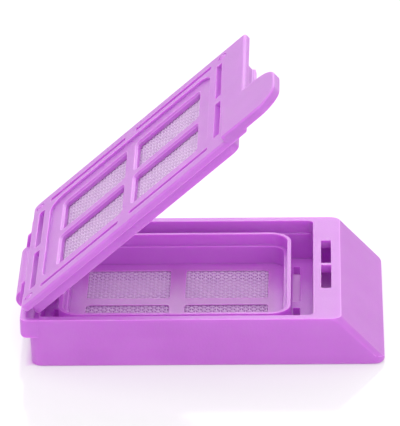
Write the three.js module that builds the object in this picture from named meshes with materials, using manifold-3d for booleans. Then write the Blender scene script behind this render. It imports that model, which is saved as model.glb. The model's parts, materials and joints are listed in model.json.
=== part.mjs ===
// Tissue cassette with a hinged lid: two moulded shells, each holding a sheet of woven mesh.
//
// Millimetres, +Z up. The origin is on the table plane, under the centre of the sample well.
// +X runs from the hinge to the writing slope, and +Y runs across the cassette. The lid is
// modelled shut, round its hinge axis, and its group then turns it open.

import * as THREE from 'three';
import { mergeVertices } from 'three/addons/utils/BufferGeometryUtils.js';
import Module from 'manifold-3d';

const wasm = await Module();
wasm.setup();

// ---------------------------------------------------------------------------------------------
// Driving dimensions
// ---------------------------------------------------------------------------------------------

// Whole body
const bodyWidth = 28.5;
const bodyLength = 40.8;          // from the hinge shoulders to the toe of the writing slope
const bodyHeight = 5.75;          // table to the top of the walls
const cornerRadius = 1.3;         // upright corners of the body
const wallThickness = 1.05;
const wallDraft = 0.15;           // each outer wall leans in by this from its top to the table
const footRadius = 0.3;           // rounding under the outer walls
const floorThickness = 1.0;

// Hinge end of the base
const shoulderDepth = 0.99;       // how far the shoulders stand out past the end wall
const shoulderHeight = 2.14;      // from the flat underside of a shoulder to its top
const shoulderRadius = 0.9;
const shoulderFootRadius = 0.45;  // rounding under a shoulder
const shoulderRim = 0.62;         // flat rim round the hollow top of a shoulder
const shoulderWall = 1.39;        // from the outer face to where the rim's inner slope ends
const shoulderFloor = 0.65;
const shoulderHollowPast = 0.15;  // the thin side walls end this far past the end wall
const barrelRadius = 1.12;
const barrelLength = 12.3;
const hingeDrop = 1.0;            // hinge axis below the top of the walls
const hingeInset = 0.24;          // hinge axis behind the outer face of the shoulders
const armThickness = 0.42;
const armGap = 0.28;              // free space on each side of a lid arm
const pinRadius = 0.42;
const pinRunningGap = 0.25;       // round a pin, and past its end
const pinEngagement = 0.8;        // length of pin inside its bore
const armEyeRadius = 0.7;

// Slope end of the base
const slopeAngle = THREE.MathUtils.degToRad(46.5);
const toeHeight = 0.5;            // upright face under the foot of the slope
const slopeEdgeRadius = 0.95;     // rounding along the two sides of the slope
const slopeWall = 0.9;
const shelfThickness = 1.0;
const shelfLip = 1.05;            // shelf between the latch slots and the top of the slope
const latchSlotWidth = 1.14;      // along X
const latchSlotSpan = 13.3;       // across both slots, along Y
const latchSlotOffset = 0.8;      // centre of both slots, along Y
const latchBar = 0.55;            // bar that parts the two slots
const latchSlotRadius = 0.12;
const latchWall = 0.91;           // wall between the well's trough and the hollow slope

// Sample well, a basket inside the outer walls, with a trough all round it
const hingeTrough = 2.05;
const slopeTrough = 2.53;
const sideTrough = 1.85;
const troughRadius = 0.6;         // inside upright corners of the trough
const rimThickness = 0.45;
const rimDrop = 0.65;             // rim below the top of the walls
const rimDepth = 1.4;             // rim down to the ledge
const ledgeWidth = 0.38;
const wellFloorTop = 1.5;
const wellRadius = 2.0;           // inside corners of the rim
const wallLedgeWidth = 0.2;       // the side walls are thicker by this below the skirt
const wallLedgeGap = 0.3;         // from the shut lid's skirt down to that ledge
const pocketDepth = 0.5;          // relief under each window
const pocketMargin = 0.5;         // relief past the window on every side

// Windows and mesh, the same in the base and in the lid
const panelClearance = 0.22;      // between the lid's panel and the inside of the rim
const panelMargin = 2.0;          // from the panel's edge to its windows
const windowBar = 1.76;           // bars between the four windows
const windowRadius = 0.45;
const meshThickness = 0.2;
const meshEmbed = 0.6;            // width of mesh held inside the plastic
const meshCornerRadius = 0.3;
const meshClearance = 0.08;       // all round the sheet
const meshDepth = 0.2;            // from the sample's side of each panel to its sheet
const meshPitch = 1.5;
const meshOpenShare = 0.62;       // open part of each pitch

// Flow slots round the well, in the base and in the lid
const slotWidth = 0.84;
const slotSetback = 0.17;         // from the outside of the well to a slot of the base
const lidSlotSetback = 0.32;      // the same for a slot of the lid
const slotBar = 1.68;             // bar between the two slots of a side
const slotReach = 0.1;            // slots along the sides run this far past the panel
const slotRadius = 0.08;

// Lid
const lidThickness = 0.8;
const seatGap = 0.1;              // between the shut lid and the walls that it closes on
const lidEndGap = 0.37;           // between the lid's end and the shoulders, and its skirt
const lidLap = 0.09;              // lid past the outer edge of the latch slots
const lidHingeRadius = 0.9;
const lidLatchRadius = 0.35;
const lidEdgeRadius = 0.35;       // rounding along the lid's upper edge
const panelDrop = 0.35;           // panel below the lid's frame
const panelThickness = 1.2;
const windowChamfer = 0.25;       // round each window, on top of the lid's panel
const skirtThickness = 0.4;
const skirtDepth = 1.4;
const skirtClearance = 0.3;       // between the skirt and the walls that it plugs into
const skirtRadius = 0.9;
const nubWidth = 1.15;            // small nub at the middle of the lid's hinge end
const nubLength = 0.22;
const nubHeight = 0.4;
const restAngle = THREE.MathUtils.degToRad(41);

// Latch tongues under the lid
const tongueDepth = 1.85;
const tongueClearance = 0.3;      // inside a slot, behind a tongue and at its two sides
const barbClearance = 0.12;       // inside a slot, in front of a barb
const barbReach = 0.28;
const barbHeight = 0.5;

// Thumb tab
const tabLength = 7.75;
const tabWidth = 9.1;
const tabOverhang = 5.05;         // past the end of the lid
const tabRise = 0.6;              // above the lid's frame
const tabThickness = 1.05;
const tabRadius = 2.9;
const tabInnerRadius = 0.35;
const tabCornerRadius = 0.2;
const tabEdgeRadius = 0.22;

// Corner pips on the lid
const pipRadius = 0.42;
const pipRise = 0.2;
const pipRingRadius = 0.64;
const pipRingDepth = 0.1;

// ---------------------------------------------------------------------------------------------
// Sizes worked out from them
// ---------------------------------------------------------------------------------------------

const halfWidth = bodyWidth / 2;
const wallInnerY = halfWidth - wallThickness;

const wellHalfY = wallInnerY - sideTrough;
const hingeMargin = shoulderDepth + wallThickness + hingeTrough;
const slopeRun = (bodyHeight - toeHeight) / Math.tan(slopeAngle);
const slopeMargin = slopeTrough + latchWall + latchSlotWidth + shelfLip + slopeRun;
const wellHalfX = (bodyLength - hingeMargin - slopeMargin) / 2;

const endWallOuterX = -wellHalfX - hingeTrough - wallThickness;
const endWallInnerX = endWallOuterX + wallThickness;
const shoulderOuterX = endWallOuterX - shoulderDepth;
const shoulderInnerX = shoulderOuterX + shoulderWall;
const shelfInnerX = wellHalfX + slopeTrough;
const latchSlotX = shelfInnerX + latchWall;
const slopeTopX = latchSlotX + latchSlotWidth + shelfLip;
const toeX = slopeTopX + slopeRun;

const shoulderFootZ = bodyHeight - shoulderHeight;
const rimZ = bodyHeight - rimDrop;
const ledgeZ = rimZ - rimDepth;
const wallLedgeZ = bodyHeight + seatGap - skirtDepth - wallLedgeGap;

const hingeX = shoulderOuterX + hingeInset;
const hingeZ = bodyHeight - hingeDrop;
const armInnerY = barrelLength / 2 + armGap;
const armOuterY = armInnerY + armThickness;
const shoulderInnerY = armOuterY + armGap;

const rimInnerX = wellHalfX - rimThickness;
const rimInnerY = wellHalfY - rimThickness;
const panelHalfX = rimInnerX - panelClearance;
const panelHalfY = rimInnerY - panelClearance;
const windowLength = panelHalfX - panelMargin - windowBar / 2;
const windowWidth = panelHalfY - panelMargin - windowBar / 2;

const lidUnderZ = bodyHeight + seatGap;
const lidTopZ = lidUnderZ + lidThickness;
const panelTopZ = lidTopZ - panelDrop;
const panelUnderZ = panelTopZ - panelThickness;
const lidSheetZ = panelUnderZ + meshDepth + meshThickness;
const baseSheetZ = wellFloorTop - meshDepth;
const lidHingeX = shoulderInnerX + lidEndGap;
const lidLatchX = latchSlotX + latchSlotWidth + lidLap;

const beyond = 5;                 // how far a cutter runs past what it cuts
const lap = 0.1;                  // how far joined solids reach into each other

// ---------------------------------------------------------------------------------------------
// Geometry helpers
// ---------------------------------------------------------------------------------------------

/** A closed three.js geometry as a solid that can be joined and cut. */
function solid(geometry) {
  const bare = geometry.index ? geometry.toNonIndexed() : geometry.clone();
  bare.deleteAttribute('normal');
  bare.deleteAttribute('uv');
  const merged = mergeVertices(bare, 1e-5);
  return new wasm.Manifold(new wasm.Mesh({
    numProp: 3,
    vertProperties: new Float32Array(merged.attributes.position.array),
    triVerts: new Uint32Array(merged.index.array),
  }));
}

/** A solid as a named mesh with its material. */
function meshOf(name, manifold, material) {
  const data = manifold.getMesh();
  const geometry = new THREE.BufferGeometry();
  geometry.setAttribute('position', new THREE.BufferAttribute(data.vertProperties, 3));
  geometry.setIndex(new THREE.BufferAttribute(data.triVerts, 1));
  geometry.computeVertexNormals();
  const mesh = new THREE.Mesh(geometry, material);
  mesh.name = name;
  return mesh;
}

/** A box outline, half sizes about a centre: the plan of a well, a panel or a slot. */
function centred(halfX, halfY, centreX = 0, centreY = 0) {
  return { x0: centreX - halfX, x1: centreX + halfX, y0: centreY - halfY, y1: centreY + halfY };
}

/** The same outline grown on every side, or shrunk where the amount is negative. */
function grown(box, amount) {
  return { x0: box.x0 - amount, x1: box.x1 + amount, y0: box.y0 - amount, y1: box.y1 + amount };
}

/**
 * Points round a rectangle with rounded corners, anticlockwise from the corner at x0, y0.
 * radii holds one radius, or four in that order, and steps is the facets on each corner.
 */
function roundedOutline({ x0, x1, y0, y1 }, radii, steps = 8) {
  const list = Array.isArray(radii) ? radii : [radii, radii, radii, radii];
  const most = Math.min(x1 - x0, y1 - y0) / 2;
  const corners = [[x0, y0, 1, 1], [x1, y0, -1, 1], [x1, y1, -1, -1], [x0, y1, 1, -1]];
  return corners.flatMap(([x, y, towardsX, towardsY], corner) => {
    const radius = Math.min(Math.max(list[corner], 0.01), most);
    const start = Math.PI * (1 + corner / 2);
    return Array.from({ length: steps + 1 }, (_, step) => {
      const angle = start + (Math.PI / 2) * (step / steps);
      return new THREE.Vector2(
        x + towardsX * radius + radius * Math.cos(angle),
        y + towardsY * radius + radius * Math.sin(angle),
      );
    });
  });
}

/** A straight prism of a plan outline, from one height to another. */
function prism(outline, zLow, zHigh) {
  const shape = new THREE.Shape(outline);
  const geometry = new THREE.ExtrudeGeometry(shape, { depth: zHigh - zLow, bevelEnabled: false });
  return solid(geometry.translate(0, 0, zLow));
}

/** A rounded box: the prism of a rounded rectangle. */
function block(box, radii, zLow, zHigh, steps) {
  return prism(roundedOutline(box, radii, steps), zLow, zHigh);
}

/** A side view, points of x and z, drawn out along Y between two planes. */
function sideways(points, yLow, yHigh) {
  const shape = new THREE.Shape(points.map(([x, z]) => new THREE.Vector2(x, z)));
  const geometry = new THREE.ExtrudeGeometry(shape, { depth: yHigh - yLow, bevelEnabled: false });
  return solid(geometry.rotateX(Math.PI / 2).translate(0, yHigh, 0));
}

/** A round bar along Y. */
function crossBar(x, z, radius, yLow, yHigh, sides = 20) {
  const geometry = new THREE.CylinderGeometry(radius, radius, yHigh - yLow, sides);
  return solid(geometry.translate(x, (yLow + yHigh) / 2, z));
}

/**
 * A skin through plan outlines that lie one above the other, each with the same number of
 * points, closed at both ends. layers holds { outline, z } from the lowest up.
 */
function loft(layers) {
  const count = layers[0].outline.length;
  const positions = layers.flatMap(({ outline, z }) => outline.flatMap((p) => [p.x, p.y, z]));
  const index = [];
  for (let layer = 0; layer + 1 < layers.length; layer += 1) {
    for (let i = 0; i < count; i += 1) {
      const here = layer * count + i;
      const next = layer * count + ((i + 1) % count);
      index.push(here, next, next + count, here, next + count, here + count);
    }
  }
  const top = (layers.length - 1) * count;
  for (const [a, b, c] of THREE.ShapeUtils.triangulateShape(layers[0].outline, [])) {
    index.push(c, b, a);
  }
  for (const [a, b, c] of THREE.ShapeUtils.triangulateShape(layers.at(-1).outline, [])) {
    index.push(top + a, top + b, top + c);
  }
  const geometry = new THREE.BufferGeometry();
  geometry.setAttribute('position', new THREE.Float32BufferAttribute(positions, 3));
  geometry.setIndex(index);
  return solid(geometry);
}

/** A plate whose upper edge is rounded. */
function roundedPlate(box, radii, zLow, zHigh, edgeRadius) {
  const layer = (inset, z) => {
    const inner = radii.map((radius) => Math.max(radius - inset, 0.01));
    return { outline: roundedOutline(grown(box, -inset), inner), z };
  };
  const turns = [0, 1, 2, 3].map((step) => (Math.PI / 2) * (step / 3));
  const edge = turns.map((turn) => (
    layer(edgeRadius * (1 - Math.cos(turn)), zHigh + edgeRadius * (Math.sin(turn) - 1))
  ));
  return loft([layer(0, zLow), ...edge]);
}

/** Joins a list of solids. */
function join(parts) {
  return parts.reduce((whole, part) => whole.add(part));
}

// ---------------------------------------------------------------------------------------------
// Patterns shared by the base and the lid
// ---------------------------------------------------------------------------------------------

const quadrants = [[-1, -1], [1, -1], [1, 1], [-1, 1]];

/** Plans of the four windows, about the middle of the panel. */
function windowBoxes() {
  return quadrants.map(([alongX, alongY]) => centred(
    windowLength / 2,
    windowWidth / 2,
    alongX * (windowBar + windowLength) / 2,
    alongY * (windowBar + windowWidth) / 2,
  ));
}

/** Plans of the eight flow slots: two on each side of the well. */
function slotBoxes(setback) {
  const endX = wellHalfX + setback + slotWidth / 2;
  const sideY = wellHalfY + setback + slotWidth / 2;
  const halfEnd = (panelHalfY - slotBar / 2) / 2;
  const halfSide = (panelHalfX + slotReach - slotBar / 2) / 2;
  return quadrants.flatMap(([alongX, alongY]) => [
    centred(slotWidth / 2, halfEnd, alongX * endX, alongY * (slotBar / 2 + halfEnd)),
    centred(halfSide, slotWidth / 2, alongX * (slotBar / 2 + halfSide), alongY * sideY),
  ]);
}

/** Cutters for the windows, right through a plate. */
function windowCutters(zLow, zHigh) {
  return join(windowBoxes().map((box) => block(box, windowRadius, zLow, zHigh, 3)));
}

/** Cutters that chamfer the windows on top of the lid's panel. */
function windowChamfers() {
  return join(windowBoxes().map((box) => {
    const layer = (growth, z) => (
      { outline: roundedOutline(grown(box, growth), windowRadius + growth, 3), z }
    );
    return loft([
      layer(0, panelTopZ - windowChamfer),
      layer(windowChamfer, panelTopZ),
      layer(windowChamfer, panelTopZ + beyond),
    ]);
  }));
}

/** Cutters for the flow slots, right through a plate. */
function slotCutters(setback, zLow, zHigh) {
  return join(slotBoxes(setback).map((box) => block(box, slotRadius, zLow, zHigh, 1)));
}

/** Plan of the woven sheet: all four windows and what is held in the plastic. */
function sheetBox() {
  return centred(
    windowLength + windowBar / 2 + meshEmbed,
    windowWidth + windowBar / 2 + meshEmbed,
  );
}

/** The flat pocket, inside a plate, that holds the sheet. */
function sheetPocket(sheetTopZ) {
  const low = sheetTopZ - meshThickness - meshClearance;
  const high = sheetTopZ + meshClearance;
  return block(grown(sheetBox(), meshClearance), meshCornerRadius, low, high, 2);
}

/** Plans of the openings between the wires that show in one window. */
function openingBoxes(box) {
  const columns = Math.round(windowLength / meshPitch);
  const rows = Math.round(windowWidth / meshPitch);
  const stepX = windowLength / columns;
  const stepY = windowWidth / rows;
  const halfX = (stepX * meshOpenShare) / 2;
  const halfY = (stepY * meshOpenShare) / 2;
  return Array.from({ length: columns * rows }, (_, i) => {
    const x = box.x0 + ((i % columns) + 0.5) * stepX;
    const y = box.y0 + (Math.floor(i / columns) + 0.5) * stepY;
    return centred(halfX, halfY, x, y);
  });
}

/** The woven sheet, flat, with its openings where the windows show it. */
function meshSheet(name, sheetTopZ, material) {
  const low = sheetTopZ - meshThickness;
  const sheet = block(sheetBox(), meshCornerRadius, low, sheetTopZ, 2);
  const openings = windowBoxes().flatMap(openingBoxes).map((box) => {
    const cutter = new THREE.BoxGeometry(box.x1 - box.x0, box.y1 - box.y0, 1);
    return solid(cutter.translate((box.x0 + box.x1) / 2, (box.y0 + box.y1) / 2, sheetTopZ));
  });
  return meshOf(name, sheet.subtract(join(openings)), material);
}

// ---------------------------------------------------------------------------------------------
// Base
// ---------------------------------------------------------------------------------------------

/** Outer body up to the top of its walls, with its draft, before anything is cut. */
function outerBody() {
  const plan = { x0: endWallOuterX, x1: toeX, y0: -halfWidth, y1: halfWidth };
  const layer = (z, footInset) => {
    const inset = footInset + wallDraft * (1 - z / bodyHeight);
    return { outline: roundedOutline(grown(plan, -inset), cornerRadius - footInset), z };
  };
  const foot = [0, 1, 2, 3].map((step) => {
    const turn = (Math.PI / 2) * (step / 3);
    return layer(footRadius * (1 - Math.cos(turn)), footRadius * (1 - Math.sin(turn)));
  });
  return loft([...foot, layer(bodyHeight, 0)]);
}

/** All that lies under the writing slope: a long bar with its two upper edges rounded. */
function underSlope() {
  const reach = bodyLength + bodyWidth;
  const section = roundedOutline(
    { x0: -halfWidth, x1: halfWidth, y0: -reach, y1: 0 },
    [0.01, 0.01, slopeEdgeRadius, slopeEdgeRadius],
    6,
  );
  const shape = new THREE.Shape(section);
  const geometry = new THREE.ExtrudeGeometry(shape, { depth: 2 * reach, bevelEnabled: false });
  const across = new THREE.Vector3(0, 1, 0);
  const normal = new THREE.Vector3(Math.sin(slopeAngle), 0, Math.cos(slopeAngle));
  const downhill = new THREE.Vector3(Math.cos(slopeAngle), 0, -Math.sin(slopeAngle));
  const frame = new THREE.Matrix4().makeBasis(across, normal, downhill);
  frame.setPosition(new THREE.Vector3(slopeTopX, 0, bodyHeight).addScaledVector(downhill, -reach));
  return solid(geometry.applyMatrix4(frame));
}

/** The hollow behind the writing slope, open underneath. */
function slopeHollow() {
  const roofZ = bodyHeight - shelfThickness;
  const run = (z) => (bodyHeight - z) / Math.tan(slopeAngle) - slopeWall / Math.sin(slopeAngle);
  return sideways(
    [
      [latchSlotX, -beyond],
      [slopeTopX + run(-beyond), -beyond],
      [slopeTopX + run(roofZ), roofZ],
      [latchSlotX, roofZ],
    ],
    -wallInnerY,
    wallInnerY,
  );
}

/** The two shoulders, which jog out from the end wall and leave the hinge between them. */
function shoulders() {
  const foot = [0, 1, 2, 3].map((step) => {
    const turn = (Math.PI / 2) * (step / 3);
    return [
      shoulderOuterX + shoulderFootRadius * (1 - Math.cos(turn)),
      shoulderFootZ + shoulderFootRadius * (1 - Math.sin(turn)),
    ];
  });
  const profile = sideways(
    [
      [shoulderOuterX, bodyHeight],
      ...foot,
      [endWallInnerX, shoulderFootZ],
      [endWallInnerX, bodyHeight],
    ],
    -halfWidth,
    halfWidth,
  );
  const plan = { x0: shoulderOuterX, x1: 0, y0: -halfWidth, y1: halfWidth };
  const rounded = block(plan, [shoulderRadius, 0, 0, shoulderRadius], -beyond, bodyHeight + beyond);
  return profile.intersect(rounded);
}

/** What the well of the base takes out of the body: the trough, and the hollow shoulders. */
function troughCutter() {
  const trough = { x0: endWallInnerX, x1: shelfInnerX, y0: -wallInnerY, y1: wallInnerY };
  const hollow = {
    x0: shoulderOuterX + shoulderRim,
    x1: endWallInnerX + shoulderHollowPast,
    y0: shoulderRim - halfWidth,
    y1: halfWidth - shoulderRim,
  };
  const floorZ = shoulderFootZ + shoulderFloor;
  const slope = sideways(
    [
      [hollow.x0, bodyHeight + beyond],
      [hollow.x0, bodyHeight],
      [shoulderInnerX, bodyHeight + hollow.x0 - shoulderInnerX],
      [shoulderInnerX, floorZ],
      [hollow.x1, floorZ],
      [hollow.x1, bodyHeight + beyond],
    ],
    hollow.y0,
    hollow.y1,
  );
  const hollowPlan = block(hollow, [troughRadius, 0, 0, troughRadius], 0, bodyHeight + beyond, 3);
  return block(trough, troughRadius, floorThickness, bodyHeight + beyond, 3)
    .add(slope.intersect(hollowPlan));
}

/** The thicker lower part of each side wall, inside the trough. */
function wallLedges() {
  const plan = {
    x0: endWallInnerX - lap,
    x1: shelfInnerX + lap,
    y0: wallInnerY - wallLedgeWidth,
    y1: wallInnerY + lap,
  };
  const one = block(plan, 0, floorThickness - lap, wallLedgeZ, 1);
  return one.add(one.mirror([0, 1, 0]));
}

/** The sample well: a thin rim over a ledge, and a floor. */
function well() {
  const outer = block(centred(wellHalfX, wellHalfY), wellRadius + rimThickness, 0, rimZ);
  const aboveLedge = block(centred(rimInnerX, rimInnerY), wellRadius, ledgeZ, rimZ + beyond);
  const belowLedge = block(
    centred(rimInnerX - ledgeWidth, rimInnerY - ledgeWidth),
    wellRadius - ledgeWidth,
    wellFloorTop,
    rimZ,
  );
  return outer.subtract(aboveLedge).subtract(belowLedge);
}

/** Reliefs under the windows, which keep the mesh off the table. */
function underPockets() {
  return join(windowBoxes().map((box) => (
    block(grown(box, pocketMargin), windowRadius + pocketMargin, -beyond, pocketDepth, 3)
  )));
}

/** The slots in the shelf that the lid's tongues drop into. */
function latchSlotBoxes() {
  const half = (latchSlotSpan - latchBar) / 4;
  const shift = latchBar / 2 + half;
  const x = latchSlotX + latchSlotWidth / 2;
  return [-1, 1].map((side) => centred(latchSlotWidth / 2, half, x, latchSlotOffset + side * shift));
}

/** Clears the middle of the hinge end for the barrel and the two lid arms. */
function hingeGapCutter() {
  const plan = {
    x0: shoulderOuterX - beyond,
    x1: endWallInnerX + lap,
    y0: -shoulderInnerY,
    y1: shoulderInnerY,
  };
  return block(plan, 0, shoulderFootZ, bodyHeight + beyond, 1);
}

/** The hinge barrel, its web down to the end wall, and a blind bore in each of its ends. */
function barrel() {
  const half = barrelLength / 2;
  const rootX = endWallOuterX + wallDraft;
  const web = sideways(
    [
      [hingeX, hingeZ],
      [hingeX, hingeZ - barrelRadius],
      [rootX, hingeZ - barrelRadius],
      [rootX, shoulderFootZ - lap],
      [hingeX + barrelRadius, shoulderFootZ - lap],
      [hingeX + barrelRadius, hingeZ],
    ],
    -half,
    half,
  );
  const boreRadius = pinRadius + pinRunningGap;
  const boreDepth = pinEngagement + pinRunningGap;
  const body = crossBar(hingeX, hingeZ, barrelRadius, -half, half, 28).add(web);
  return body
    .subtract(crossBar(hingeX, hingeZ, boreRadius, half - boreDepth, half + beyond, 16))
    .subtract(crossBar(hingeX, hingeZ, boreRadius, -half - beyond, -half + boreDepth, 16));
}

/** The base as one moulding. */
function base(material) {
  const latchSlots = join(latchSlotBoxes().map((box) => (
    block(box, latchSlotRadius, bodyHeight - shelfThickness - lap, bodyHeight + beyond, 2)
  )));
  const shell = outerBody()
    .add(shoulders())
    .intersect(underSlope())
    .subtract(troughCutter())
    .subtract(slopeHollow())
    .subtract(latchSlots)
    .subtract(hingeGapCutter());
  const whole = shell
    .add(wallLedges())
    .add(well())
    .add(barrel())
    .subtract(underPockets())
    .subtract(sheetPocket(baseSheetZ))
    .subtract(windowCutters(-beyond, wellFloorTop + lap))
    .subtract(slotCutters(slotSetback, -beyond, floorThickness + lap));
  return meshOf('base', whole, material);
}

// ---------------------------------------------------------------------------------------------
// Lid, modelled shut
// ---------------------------------------------------------------------------------------------

/** The lid's flat frame, with its lowered panel. */
function lidPlate() {
  const plan = { x0: lidHingeX, x1: lidLatchX, y0: -halfWidth, y1: halfWidth };
  const radii = [lidHingeRadius, lidLatchRadius, lidLatchRadius, lidHingeRadius];
  const panel = centred(panelHalfX, panelHalfY);
  return roundedPlate(plan, radii, lidUnderZ, lidTopZ, lidEdgeRadius)
    .add(block(grown(panel, lap), wellRadius, panelUnderZ, lidUnderZ + lap))
    .subtract(block(panel, wellRadius, panelTopZ, lidTopZ + beyond));
}

/** The skirt that plugs into the base, just inside its walls. */
function skirt() {
  const outer = {
    x0: lidHingeX + lidEndGap,
    x1: shelfInnerX - skirtClearance,
    y0: skirtClearance - wallInnerY,
    y1: wallInnerY - skirtClearance,
  };
  const low = lidUnderZ - skirtDepth;
  return block(outer, skirtRadius, low, lidUnderZ + lap)
    .subtract(block(
      grown(outer, -skirtThickness),
      skirtRadius - skirtThickness,
      low - beyond,
      lidUnderZ,
    ));
}

/** One latch tongue for each slot in the shelf, with a barb at its tip. */
function tongues() {
  const inner = latchSlotX + tongueClearance;
  const outer = latchSlotX + latchSlotWidth - barbClearance - barbReach;
  const tipZ = lidUnderZ - tongueDepth;
  const barbZ = tipZ + barbHeight;
  const profile = [
    [inner, lidUnderZ + lap],
    [inner, tipZ],
    [outer, tipZ],
    [outer + barbReach, barbZ],
    [outer, barbZ + barbReach],
    [outer, lidUnderZ + lap],
  ];
  return join(latchSlotBoxes().map(({ y0, y1 }) => (
    sideways(profile, y0 + tongueClearance, y1 - tongueClearance)
  )));
}

/** One hinge arm on each side of the barrel, with its eye and its pin. */
function arms() {
  const profile = [
    [lidHingeX + lidThickness, lidTopZ],
    [lidHingeX - lidEndGap, lidTopZ],
    [hingeX - armEyeRadius * Math.SQRT1_2, hingeZ + armEyeRadius * Math.SQRT1_2],
    [hingeX + armEyeRadius * Math.SQRT1_2, hingeZ - armEyeRadius * Math.SQRT1_2],
    [lidHingeX, lidUnderZ],
    [lidHingeX + lidThickness, lidUnderZ],
  ];
  const pinEndY = barrelLength / 2 - pinEngagement;
  const one = sideways(profile, armInnerY, armOuterY)
    .add(crossBar(hingeX, hingeZ, armEyeRadius, armInnerY, armOuterY, 20))
    .add(crossBar(hingeX, hingeZ, pinRadius, pinEndY, armInnerY + lap, 16));
  return one.add(one.mirror([0, 1, 0]));
}

/** The small nub at the middle of the lid's hinge end. */
function nub() {
  const plan = {
    x0: lidHingeX - nubLength,
    x1: lidHingeX + lap,
    y0: -nubWidth / 2,
    y1: nubWidth / 2,
  };
  return block(plan, slotRadius, lidUnderZ, lidUnderZ + nubHeight, 1);
}

/** The raised thumb tab, over one corner of the lid and out past its end. */
function thumbTab() {
  const x1 = lidLatchX + tabOverhang;
  const plan = { x0: x1 - tabLength, x1, y0: -halfWidth, y1: tabWidth - halfWidth };
  const radii = [tabCornerRadius, tabRadius, tabRadius, tabInnerRadius];
  const topZ = lidTopZ + tabRise;
  return roundedPlate(plan, radii, topZ - tabThickness, topZ, tabEdgeRadius);
}

/** Places of the pips: every corner of the lid that the thumb tab leaves free. */
function pipCentres() {
  const x = wellHalfX + lidSlotSetback + slotWidth;
  const y = wellHalfY + lidSlotSetback + slotWidth;
  return [[-x, -y], [-x, y], [x, y]];
}

/** A low round pip in its own shallow ring. */
function pip(x, y) {
  const floorZ = lidTopZ - pipRingDepth;
  const profile = [new THREE.Vector2(0, -lap), new THREE.Vector2(pipRadius, -lap)];
  for (let step = 0; step <= 3; step += 1) {
    const angle = (Math.PI / 2) * (step / 3);
    profile.push(new THREE.Vector2(pipRadius * Math.cos(angle), pipRise * Math.sin(angle)));
  }
  profile.at(-1).x = 0;
  const dome = new THREE.LatheGeometry(profile, 14).rotateX(Math.PI / 2);
  return solid(dome.translate(x, y, floorZ));
}

/** The lid as one moulding. */
function lid(material) {
  const ringZ = lidTopZ - pipRingDepth;
  const rings = join(pipCentres().map(([x, y]) => (
    block(centred(pipRingRadius, pipRingRadius, x, y), pipRingRadius, ringZ, lidTopZ + beyond, 4)
  )));
  const whole = lidPlate()
    .add(skirt())
    .add(tongues())
    .add(arms())
    .add(nub())
    .subtract(rings)
    .add(join(pipCentres().map(([x, y]) => pip(x, y))))
    .subtract(slotCutters(lidSlotSetback, lidUnderZ - lap, lidTopZ + beyond))
    .subtract(sheetPocket(lidSheetZ))
    .subtract(windowCutters(panelUnderZ - beyond, lidTopZ + beyond))
    .subtract(windowChamfers())
    .add(thumbTab());
  return meshOf('lid', whole, material);
}

// ---------------------------------------------------------------------------------------------
// Materials and assembly
// ---------------------------------------------------------------------------------------------

function plastic(red, green, blue, roughness) {
  const color = new THREE.Color().setRGB(red, green, blue, THREE.SRGBColorSpace);
  return new THREE.MeshStandardMaterial({ color, roughness, metalness: 0 });
}

const group = new THREE.Group();
group.add(base(plastic(0.86, 0.61, 0.91, 0.45)));
group.add(meshSheet('base_mesh', baseSheetZ, plastic(0.91, 0.87, 0.96, 0.6)));

const lidShut = new THREE.Group();
lidShut.position.set(-hingeX, 0, -hingeZ);
lidShut.add(lid(plastic(0.88, 0.65, 0.93, 0.45)));
lidShut.add(meshSheet('lid_mesh', lidSheetZ, plastic(0.91, 0.87, 0.96, 0.6)));

const lidTurned = new THREE.Group();
lidTurned.position.set(hingeX, 0, hingeZ);
lidTurned.rotation.y = -restAngle;
lidTurned.add(lidShut);
group.add(lidTurned);

export default group;
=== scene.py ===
"""The looks of a tissue cassette: two moulded shells with eased edges, each with its woven mesh.

Metres, +Z up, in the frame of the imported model. +X runs from the hinge to the writing slope and
+Y across the cassette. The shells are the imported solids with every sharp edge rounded, and the
mesh sheets are woven thread by thread.
"""

import json
import logging
import math
from dataclasses import dataclass
from enum import Enum, IntEnum
from typing import Union

import bmesh
import bpy
from mathutils import Matrix, Vector
from mathutils.geometry import delaunay_2d_cdt


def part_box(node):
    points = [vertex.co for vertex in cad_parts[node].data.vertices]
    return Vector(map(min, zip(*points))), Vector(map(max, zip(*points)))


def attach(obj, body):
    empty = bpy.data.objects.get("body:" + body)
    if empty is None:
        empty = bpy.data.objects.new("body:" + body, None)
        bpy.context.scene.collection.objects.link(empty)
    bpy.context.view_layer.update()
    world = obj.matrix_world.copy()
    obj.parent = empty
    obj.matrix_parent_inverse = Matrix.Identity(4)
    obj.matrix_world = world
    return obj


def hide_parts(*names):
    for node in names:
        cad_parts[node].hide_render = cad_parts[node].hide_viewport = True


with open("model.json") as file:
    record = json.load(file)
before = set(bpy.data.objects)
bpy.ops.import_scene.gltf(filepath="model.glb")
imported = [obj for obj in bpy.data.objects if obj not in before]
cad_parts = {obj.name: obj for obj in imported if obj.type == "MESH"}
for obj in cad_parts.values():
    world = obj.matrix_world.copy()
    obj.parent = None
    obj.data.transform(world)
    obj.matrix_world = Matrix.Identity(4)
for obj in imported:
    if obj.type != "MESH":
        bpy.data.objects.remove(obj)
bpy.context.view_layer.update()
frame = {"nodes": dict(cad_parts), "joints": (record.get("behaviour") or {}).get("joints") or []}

log = logging.getLogger("cassette")
MM = 0.001
WHITE = (1.0, 1.0, 1.0, 1.0)
NOISE_ROUGHNESS = 0.55

# What the filling of an outline is asked for: only triangles inside it, and the distance in work
# units within which two points are one.
TRIANGLES_WITHIN = 1
CROSSING_DISTANCE = 1e-5

Triple = tuple[float, float, float]
Colour = Triple
Place = Triple


# ----------------------------------------------------------
# Node graphs
# ----------------------------------------------------------


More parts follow.
